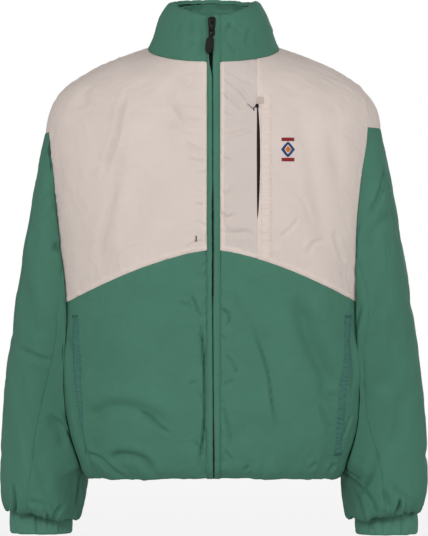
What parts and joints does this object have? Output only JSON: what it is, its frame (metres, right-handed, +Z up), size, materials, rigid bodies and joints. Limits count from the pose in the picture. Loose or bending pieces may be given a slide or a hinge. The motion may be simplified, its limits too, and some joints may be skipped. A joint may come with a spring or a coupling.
{
  "type": "zip jacket",
  "caption": "Zip-front jacket with a stand collar, pale yokes over a dark green body and sleeves, gathered cuffs and hem, and zipped pockets, held in its worn shape.",
  "frame": {"origin": "the middle of the neck, level with the points where the shoulder seams meet the collar, where the wearer carries the jacket", "axes": "+Z up along the wearer's body; the front with its zip faces -Y; the wearer's left is +X"},
  "size_m": [0.6257, 0.2878, 0.7795],
  "materials": {
    "pale_cloth": "fine plain weave, matt with a slight sheen",
    "green_cloth": "fine plain weave, matt with a slight sheen",
    "zip_tape": "black zip tape and moulded teeth",
    "pocket_zip": "dark coil zip",
    "black_metal": "blackened, satin",
    "black_pull": "moulded, matt"
  },
  "bodies": {
    "jacket": {"back_lower": "green_cloth", "back_yoke": "pale_cloth", "chest_pocket_welt": "pale_cloth", "chest_pocket_zip": "pocket_zip", "collar": "green_cloth", "collar_facing": "green_cloth", "cuff_left": "green_cloth", "cuff_right": "green_cloth", "front_lower_left": "green_cloth", "front_lower_right": "green_cloth", "front_yoke_left_inner": "pale_cloth", "front_yoke_left_outer": "pale_cloth", "front_yoke_right": "pale_cloth", "hand_pocket_welt_left": "green_cloth", "hand_pocket_welt_right": "green_cloth", "hem_band": "green_cloth", "sleeve_cap_left": "pale_cloth", "sleeve_cap_right": "pale_cloth", "sleeve_outer_left": "green_cloth", "sleeve_outer_right": "green_cloth", "sleeve_under_left": "green_cloth", "sleeve_under_right": "green_cloth", "zip_band_left": "green_cloth", "zip_band_right": "green_cloth", "zip_chain": "zip_tape", "zip_slider": "black_metal"},
    "pull": {"zip_pull": "black_pull"}
  },
  "joints": [
    {"name": "pull_hinge", "type": "hinge", "parent": "jacket", "child": "pull", "pos_m": [0, -0.10001, 0.02985], "axis": [-1, 0, 0], "range_deg": [0, 150]}
  ]
}
